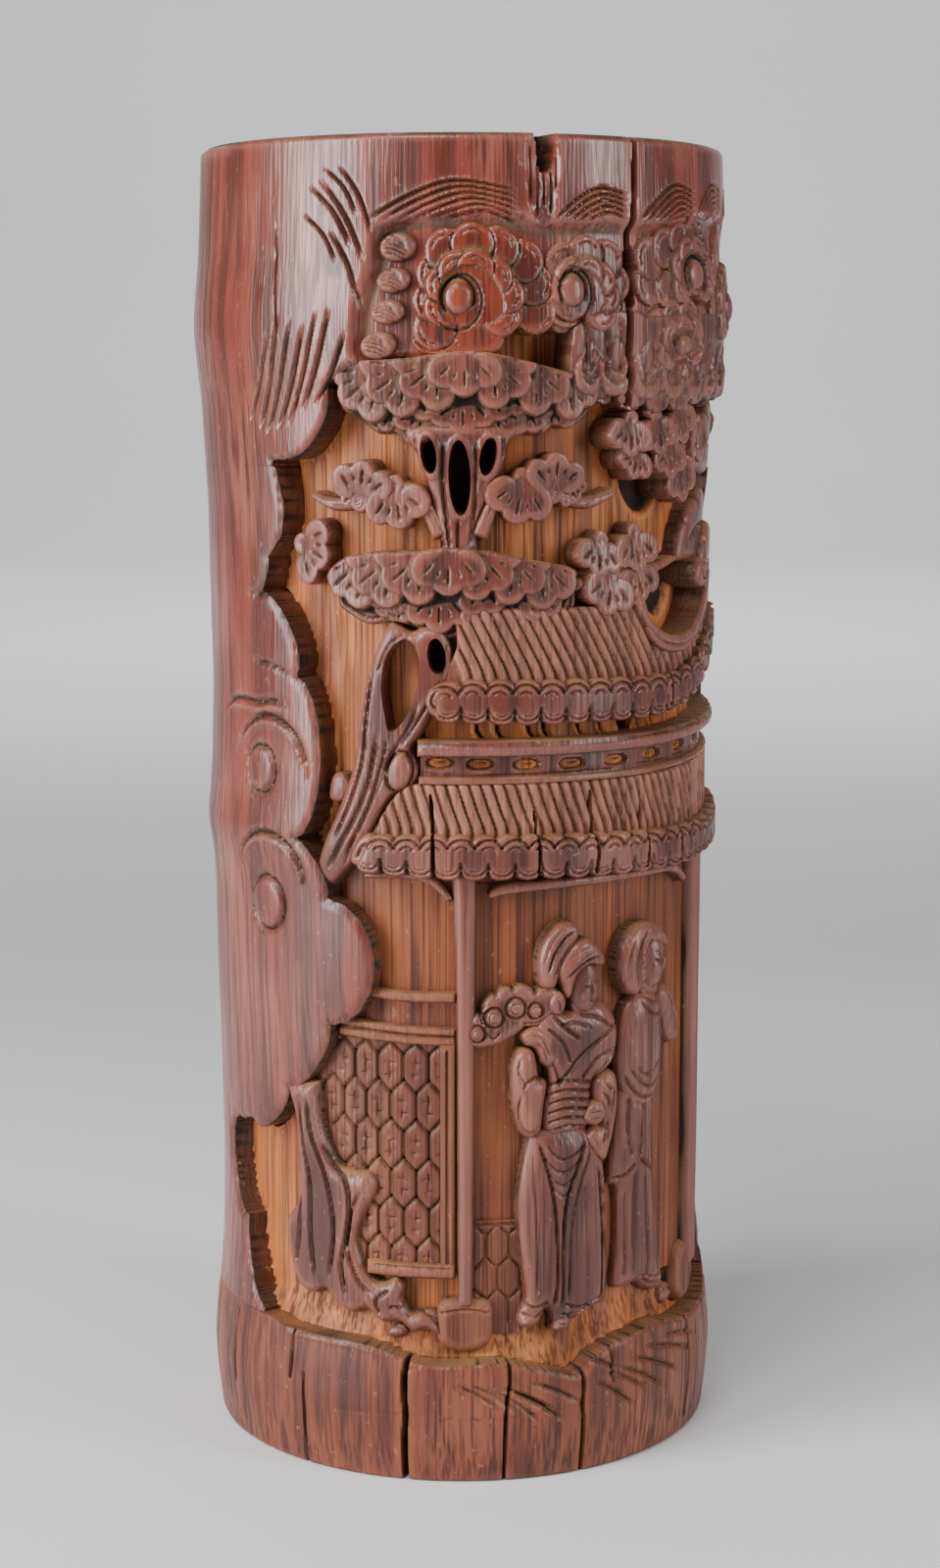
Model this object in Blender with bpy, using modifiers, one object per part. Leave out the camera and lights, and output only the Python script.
"""Carved bamboo brush pot: one length of culm, deeply carved on its front and right, with a turned wooden
disc let into its foot.

The culm stands on its own foot ring at Z 0, with its axis on Z and its carved front towards -Y.
The carving is drawn flat, as (u, z) in millimetres: u runs round the culm as arc length at FLAT_RADIUS,
to the right of the front, and z is the height. Flat plates of it are wrapped round the culm and cut away
down to the ground of the carving, which leaves the motifs standing at the height of the skin.
"""

import math

import bmesh
import bpy
from mathutils import Vector

MM = 0.001

# Driving dimensions, in millimetres.
HEIGHT = 300.0
BORE_RADIUS = 47.0
CARVING_DEPTH = 7.0
FLAT_RADIUS = 60.0
CULM_STEPS = 96
DISC_STEPS = 64
PEG_STEPS = 16
STRIP_WIDTH = 6.0
LIP = 1.6
FOOT_ROUNDING = 1.2
CLEARANCE = 4.0
FLAT_WELD = 0.001
FLAT_ANGLE = 0.001
SEAM_WELD = 0.00001

# The three nodes of the culm: height, and skin radius at the ridge.
NODES = ((18.0, 60.5), (146.0, 60.8), (260.0, 62.6))
NODE_REACH = 13.0
NODE_SHARPNESS = 1.6
# Skin radius between the nodes: height, radius.
INTERNODE = ((0.0, 58.6), (60.0, 57.8), (120.0, 58.8), (190.0, 59.2), (225.0, 60.0), (300.0, 60.9))

# Heights between the nodes where the skin's profile has a point, and the height whose skin sets the ground.
PLAIN_HEIGHTS = (285.0, 225.0, 200.0, 175.0, 120.0, 90.0, 60.0, 40.0, 5.0)
GROUND_HEIGHT = 90.0

# The foot: a rebate takes the disc from below, up against the step where the bore narrows.
REBATE_RADIUS = 51.0
REBATE_TOP = 10.0
GAP = 0.3
DISC_LOW = 1.8
DISC_EDGE = 0.6
DISH_RADIUS = 34.0
DISH_DEPTH = 1.0
BEAD_WIDTH = 2.2
BEAD_LOW = 0.5
BEAD_FLAT = 0.5
PEG_RADIUS = 1.5
PEG_HEIGHT = 5.6
PEG_INNER_END = 44.0
PEG_OUTER_END = 58.2
PEG_HOLE_END = 70.0
PEG_ANGLES = {"base_peg_left": -100.0, "base_peg_back": 180.0, "base_peg_right": 100.0}

DARK_SKIN = (0.20, 0.055, 0.035, 1.0)
DISC_WOOD = (0.10, 0.035, 0.02, 1.0)
LACQUER = (0.03, 0.015, 0.012, 1.0)
PALE_BAMBOO = (0.42, 0.22, 0.09, 1.0)

# The lobed edge of the skin on the left of the carving, from top to bottom: cusp, then how far the arc to
# the next cusp swells to the right of the picture.
LEFT_FRAME = (
    (-28.5, 250.0, 6.6),
    (-46.5, 230.5, 4.1),
    (-49.0, 209.5, 0.0),
    (-44.5, 210.5, -1.0),
    (-53.0, 200.5, 4.2),
    (-41.0, 182.5, 6.5),
    (-40.0, 147.0, 1.9),
    (-32.5, 133.5, 11.2),
    (-33.0, 103.5, 3.2),
    (-46.0, 88.0, 3.5),
    (-60.0, 77.0, -1.2),
    (-66.0, 76.0, -1.5),
    (-73.5, 73.5, -5.3),
    (-63.0, 54.0, -1.0),
    (-61.0, 41.0, -2.9),
    (-44.0, 31.5, 0.0),
)
# The top of the uncarved band at the foot, left to right.
GROUND_LINE = (
    (-20, 31.5), (-8, 28.5), (10, 27.5), (27, 23.5), (38, 28.5), (56, 29.5), (70, 27.5), (86, 31),
)
# The lobed edge on the right, from bottom to top, swelling to the left.
RIGHT_FRAME = (
    (98.0, 36.0, 3.0),
    (106.0, 52.0, 5.0),
    (104.0, 78.0, 5.0),
    (110.0, 104.0, 6.0),
    (108.0, 132.0, 5.0),
    (112.0, 158.0, 6.0),
    (108.0, 186.0, 5.0),
    (112.0, 210.0, 5.0),
    (104.0, 234.0, 2.0),
    (92.0, 246.0, 0.0),
)
# The underside of the cloud bank, right to left.
CLOUD_LINE = (
    (80.0, 246.0, 1.5),
    (66.0, 244.0, 1.5),
    (57.0, 242.0, 1.5),
    (49.0, 242.0, 1.5),
    (40.0, 242.5, 1.5),
    (30.0, 243.0, -2.0),
    (25.0, 258.0, 1.2),
    (19.0, 258.5, 1.2),
    (10.0, 260.0, 0.0),
    (8.0, 254.0, 0.0),
    (-12.0, 253.0, 0.0),
)

# Motifs left standing at the height of the skin.
PINE = (
    (-28, 247), (-20, 253.5), (-4, 255.5), (14, 251), (30.5, 247.5), (28, 239), (19, 236), (10, 235),
    (8.5, 229), (16, 229), (24, 231.5), (37, 222.5), (22, 218.5), (8, 217.5), (4, 212.5), (14, 209.5),
    (28, 205.5), (38, 212), (52, 208.5), (45, 199), (38, 195), (30, 201), (26, 195), (8, 194.5),
    (-1, 191), (-4, 183), (-10, 171.5), (-11.5, 162), (-19, 153), (-31, 138.5), (-40, 141),
    (-34, 152), (-26, 166), (-24, 181), (-21, 194), (-27, 196), (-32, 206), (-39, 207), (-37, 213),
    (-27, 210), (-6, 211.5), (-8, 217), (-20, 215.5), (-29, 220.5), (-37, 221), (-28, 226),
    (-19, 229), (-8, 222), (-11, 234), (-18, 234.5), (-26, 239),
)
PINE_HOLES = (
    (-7.5, 233, 1.8, 3.6), (0.5, 227.5, 2.4, 7), (6.2, 233.2, 1.9, 3.6), (-5.5, 188, 2, 4),
    (-14.5, 181.5, 4.2, 8.5),
)
UPPER_ROOF = (
    (1, 196), (26, 196.5), (44, 198), (52, 192), (60, 190.5), (68, 195), (71, 207), (78, 206),
    (82, 194), (100, 190), (100, 178), (80, 178), (68, 177), (52, 175), (20, 174.5), (-6, 175.5),
    (-6, 178), (-1, 183),
)
RAILING = (
    (-8, 161.5), (-9, 169.5), (30, 169), (60, 169.5), (80, 171), (101, 169), (101, 161.5), (60, 162),
)
LOWER_ROOF = (
    (-21, 157), (-10, 160), (101, 160), (109, 150), (109, 142), (76, 140), (0, 140), (-18, 141.5),
    (-23, 146),
)
COLUMN = (
    (-1.2, 142), (3.6, 142), (3.2, 40.5), (6.5, 38), (5.5, 31), (-3, 31), (-5.5, 37), (-1.8, 40.5),
)
RIGHT_COLUMN = ((71, 142), (78.5, 142), (77, 42), (82, 33), (66, 32), (67, 44))
LATTICE_WALL = ((-20, 111), (-3, 110), (-3, 48), (-20, 49), (-26, 70), (-33, 86), (-32, 100))
ROCK = (
    (-44, 84), (-40, 86), (-38, 74), (-30, 69.5), (-22, 70), (-25, 60), (-25, 50), (-20, 46.5),
    (-15, 46), (-12, 39.5), (-7, 37), (-3, 35.5), (-3, 33), (-14, 34.5), (-28, 37), (-42, 38),
    (-45, 46), (-48, 58), (-45, 66),
)
LADY = (
    (20, 124), (26, 128), (33, 124), (37, 116), (40, 104), (40, 90), (36, 72), (38, 42), (33, 35),
    (24, 33), (15, 36), (15, 60), (17, 78), (12, 82), (12, 94), (16, 102), (10, 102), (2, 101),
    (3, 106), (9, 112), (20, 111),
)
MAID = (
    (43, 124), (50, 125.5), (57, 120), (62, 110), (66, 100), (60, 95), (57, 88), (55, 70), (62, 42),
    (61, 37), (50, 38.5), (43, 40), (42, 60), (42, 90), (38.5, 104), (44, 110),
)


def bulged(cusps, closing=None, steps=5):
    """A run of arcs through cusps of (u, z, swell): each arc stands its swell off the chord, to the left."""
    ends = list(cusps) + ([closing + (0.0,)] if closing else [])
    points = []
    for (u0, z0, swell), (u1, z1, _) in zip(ends, ends[1:]):
        chord = Vector((u1 - u0, z1 - z0))
        left = Vector((-chord.y, chord.x)).normalized()
        count = steps if swell else 1
        for i in range(count):
            t = i / count
            rise = 4 * t * (1 - t) * swell
            points.append(Vector((u0, z0)) + chord * t + left * rise)
    points.append(Vector(ends[-1][:2]))
    return points


def ellipse(u, z, half_width, half_height, count=12):
    turns = [2 * math.pi * i / count for i in range(count)]
    return [Vector((u + half_width * math.cos(t), z + half_height * math.sin(t))) for t in turns]


def clear_scene():
    for obj in list(bpy.data.objects):
        bpy.data.objects.remove(obj)


def material(name, colour, roughness):
    made = bpy.data.materials.new(name)
    made.use_nodes = True
    shader = made.node_tree.nodes["Principled BSDF"]
    shader.inputs["Base Color"].default_value = colour
    shader.inputs["Roughness"].default_value = roughness
    made.diffuse_color = colour
    return made


def skin_radius(z):
    """Radius of the culm's skin at a height: a slow taper with a ridge at each node."""
    for (z0, r0), (z1, r1) in zip(INTERNODE, INTERNODE[1:]):
        if z <= z1:
            break
    taper = r0 + (r1 - r0) * (z - z0) / (z1 - z0)
    for node_z, ridge in NODES:
        reach = abs(z - node_z) / NODE_REACH
        if reach < 1.0:
            return taper + max(ridge - taper, 0.0) * (1 - reach) ** NODE_SHARPNESS
    return taper


def turned(name, profile, steps, collection, surface):
    """A closed profile of (radius, height) in millimetres, turned round Z. It runs down its outer side."""
    mesh = bpy.data.meshes.new(name)
    points = [(r * MM, 0.0, z * MM) for r, z in profile]
    count = len(points)
    mesh.from_pydata(points, [(i, (i + 1) % count) for i in range(count)], [])
    obj = bpy.data.objects.new(name, mesh)
    collection.objects.link(obj)
    screw = obj.modifiers.new("Turn", "SCREW")
    screw.steps = screw.render_steps = steps
    screw.use_merge_vertices = True
    screw.merge_threshold = SEAM_WELD
    screw.use_smooth_shade = False
    mesh.materials.append(surface)
    return obj


def culm_profile():
    """Down the skin from the lip to the foot, then up the inside past the rebate."""
    profile = [(skin_radius(HEIGHT) - LIP, HEIGHT), (skin_radius(HEIGHT) - LIP / 4, HEIGHT - LIP / 3)]
    heights = {HEIGHT - LIP, *PLAIN_HEIGHTS}
    for node_z, _ in NODES:
        heights |= {node_z + reach * NODE_REACH for reach in (-1, -0.5, 0, 0.5, 1)}
    profile += [(skin_radius(z), z) for z in sorted(heights, reverse=True) if z > FOOT_ROUNDING]
    foot = skin_radius(0)
    profile += [(foot - FOOT_ROUNDING / 3, FOOT_ROUNDING / 1.5), (foot - FOOT_ROUNDING, 0.0)]
    profile += [(REBATE_RADIUS, 0.0), (REBATE_RADIUS, REBATE_TOP), (BORE_RADIUS, REBATE_TOP)]
    profile += [(BORE_RADIUS, HEIGHT - LIP), (BORE_RADIUS + LIP, HEIGHT)]
    return profile


def flat_plate(name, outlines, thickness):
    """A flat plate of the outlines, in millimetres, with the outlines inside the first as holes."""
    curve = bpy.data.curves.new(name, "CURVE")
    curve.dimensions = "2D"
    curve.fill_mode = "BOTH"
    curve.extrude = thickness / 2
    for outline in outlines:
        spline = curve.splines.new("POLY")
        spline.points.add(len(outline) - 1)
        for point, (u, z) in zip(spline.points, outline):
            point.co = (u, z, 0.0, 1.0)
        spline.use_cyclic_u = True
    drawn = bpy.data.objects.new(name, curve)
    mesh = evaluated_mesh(drawn)
    bpy.data.curves.remove(curve)
    plate = bpy.data.objects.new(name, mesh)
    bpy.context.scene.collection.objects.link(plate)
    return plate


def evaluated_mesh(obj):
    """The object's shape after its modifiers, welded and facing out. The object itself is removed."""
    if obj.name not in bpy.context.scene.collection.objects:
        bpy.context.scene.collection.objects.link(obj)
    bpy.context.view_layer.update()
    mesh = bpy.data.meshes.new_from_object(obj.evaluated_get(bpy.context.evaluated_depsgraph_get()))
    bpy.data.objects.remove(obj)
    shape = bmesh.new()
    shape.from_mesh(mesh)
    bmesh.ops.remove_doubles(shape, verts=shape.verts, dist=FLAT_WELD)
    finish_mesh(shape, mesh)
    return mesh


def finish_mesh(shape, mesh):
    """Turns a closed shape's faces outwards and stores it in the mesh."""
    bmesh.ops.recalc_face_normals(shape, faces=shape.faces[:])
    if shape.calc_volume(signed=True) < 0:
        bmesh.ops.reverse_faces(shape, faces=shape.faces[:])
    shape.to_mesh(mesh)
    shape.free()


def wrapped_cutter(name, plate, middle, collection):
    """The plate cut into narrow upright strips and bent round the culm, its own middle at one radius."""
    mesh = evaluated_mesh(plate)
    shape = bmesh.new()
    shape.from_mesh(mesh)
    bmesh.ops.dissolve_limit(shape, angle_limit=FLAT_ANGLE, verts=shape.verts[:], edges=shape.edges[:])
    low = min(v.co.x for v in shape.verts)
    high = max(v.co.x for v in shape.verts)
    strip = math.ceil(low / STRIP_WIDTH) * STRIP_WIDTH
    while strip < high:
        everything = shape.verts[:] + shape.edges[:] + shape.faces[:]
        bmesh.ops.bisect_plane(
            shape, geom=everything, plane_co=(strip, 0, 0), plane_no=(1, 0, 0), dist=FLAT_WELD
        )
        strip += STRIP_WIDTH
    bmesh.ops.triangulate(shape, faces=shape.faces[:], quad_method="BEAUTY", ngon_method="BEAUTY")
    for vert in shape.verts:
        angle = vert.co.x / FLAT_RADIUS
        radius = (middle + vert.co.z) * MM
        vert.co = (radius * math.sin(angle), -radius * math.cos(angle), vert.co.y * MM)
    finish_mesh(shape, mesh)
    return helper(name, mesh, collection)


def peg_cutter(name, angle, collection):
    """A round hole for one peg, from inside the disc out through the skin."""
    radius = PEG_RADIUS + GAP
    return radial_cylinder(name, angle, radius, PEG_INNER_END - GAP, PEG_HOLE_END, collection, True)


def radial_cylinder(name, angle, radius, inner_end, outer_end, collection, is_helper):
    """A cylinder that lies along a radius of the culm at the pegs' height."""
    bpy.ops.mesh.primitive_cylinder_add(
        vertices=PEG_STEPS, radius=radius * MM, depth=(outer_end - inner_end) * MM
    )
    obj = bpy.context.active_object
    turn = math.radians(angle)
    middle = (inner_end + outer_end) / 2 * MM
    obj.rotation_euler = (math.pi / 2, 0.0, turn)
    obj.location = (middle * math.sin(turn), -middle * math.cos(turn), PEG_HEIGHT * MM)
    for owner in list(obj.users_collection):
        owner.objects.unlink(obj)
    collection.objects.link(obj)
    obj.name = name
    if is_helper:
        obj.hide_render = True
        obj.display_type = "WIRE"
    return obj


def helper(name, mesh, collection):
    obj = bpy.data.objects.new(name, mesh)
    collection.objects.link(obj)
    obj.hide_render = True
    obj.display_type = "WIRE"
    return obj


def subtract(obj, cutter):
    cut = obj.modifiers.new("Cut " + cutter.name, "BOOLEAN")
    cut.operation = "DIFFERENCE"
    cut.solver = "EXACT"
    cut.object = cutter


def carving_outlines():
    """The recess, and inside it the motifs that stay, and inside those the holes back to the ground."""
    recess = bulged(LEFT_FRAME, closing=GROUND_LINE[0])
    recess += [Vector(p) for p in GROUND_LINE[1:]]
    recess += bulged(RIGHT_FRAME)
    recess += bulged(CLOUD_LINE)
    motifs = (PINE, UPPER_ROOF, RAILING, LOWER_ROOF, COLUMN, RIGHT_COLUMN, LATTICE_WALL, ROCK, LADY, MAID)
    return recess, motifs, [ellipse(*hole) for hole in PINE_HOLES]


def culm(collection, cutters, surface):
    """The whole length of bamboo, with its carving, its bore and the seat for the disc."""
    body = turned("culm_body", culm_profile(), CULM_STEPS, collection, surface)
    recess, motifs, holes = carving_outlines()
    ground = skin_radius(GROUND_HEIGHT) - CARVING_DEPTH
    outside = max(ridge for _, ridge in NODES) + CLEARANCE
    block = flat_plate("carving_recess", [recess], outside - ground)
    kept = []
    for motif in motifs:
        outlines = [motif] + (holes if motif is PINE else [])
        kept.append(flat_plate("kept", outlines, 2 * (outside - ground)))
        subtract(block, kept[-1])
    block = wrapped_cutter("carving_recess", block, (outside + ground) / 2, cutters)
    for plate in kept:
        bpy.data.objects.remove(plate)
    subtract(body, block)
    for name, angle in PEG_ANGLES.items():
        subtract(body, peg_cutter(name + "_hole", angle, cutters))
    return body


def base_disc(collection, cutters, surface):
    """The turned disc, dished a little on top, with a hole in its edge for each peg."""
    top = REBATE_TOP - GAP
    rim = REBATE_RADIUS - GAP
    dish = top - DISH_DEPTH
    profile = [(0.0, dish), (DISH_RADIUS, dish), (DISH_RADIUS + 4 * DISH_DEPTH, top)]
    profile += [(rim - DISC_EDGE, top), (rim, top - DISC_EDGE)]
    profile += [(rim, DISC_LOW + DISC_EDGE), (rim - DISC_EDGE, DISC_LOW), (0.0, DISC_LOW)]
    disc = turned("base_disc", profile, DISC_STEPS, collection, surface)
    for name in PEG_ANGLES:
        subtract(disc, bpy.data.objects[name + "_hole"])
    return disc


def base_bead(collection, surface):
    """The bead of lacquer putty that seals the disc to the foot from below."""
    outer = REBATE_RADIUS - GAP
    high = DISC_LOW - GAP
    profile = [(outer, high), (outer, BEAD_LOW), (outer - BEAD_FLAT, BEAD_LOW), (outer - BEAD_WIDTH, high)]
    return turned("base_lacquer_bead", profile, DISC_STEPS, collection, surface)


def base_pegs(collection, surface):
    for name, angle in PEG_ANGLES.items():
        peg = radial_cylinder(name, angle, PEG_RADIUS, PEG_INNER_END, PEG_OUTER_END, collection, False)
        peg.data.materials.append(surface)


def main():
    clear_scene()
    collection = bpy.data.collections.new("brush_pot")
    cutters = bpy.data.collections.new("cutters")
    bpy.context.scene.collection.children.link(collection)
    bpy.context.scene.collection.children.link(cutters)
    culm(collection, cutters, material("bamboo skin", DARK_SKIN, 0.4))
    base_disc(collection, cutters, material("disc wood", DISC_WOOD, 0.5))
    base_bead(collection, material("lacquer putty", LACQUER, 0.3))
    base_pegs(collection, material("pale bamboo", PALE_BAMBOO, 0.6))


main()
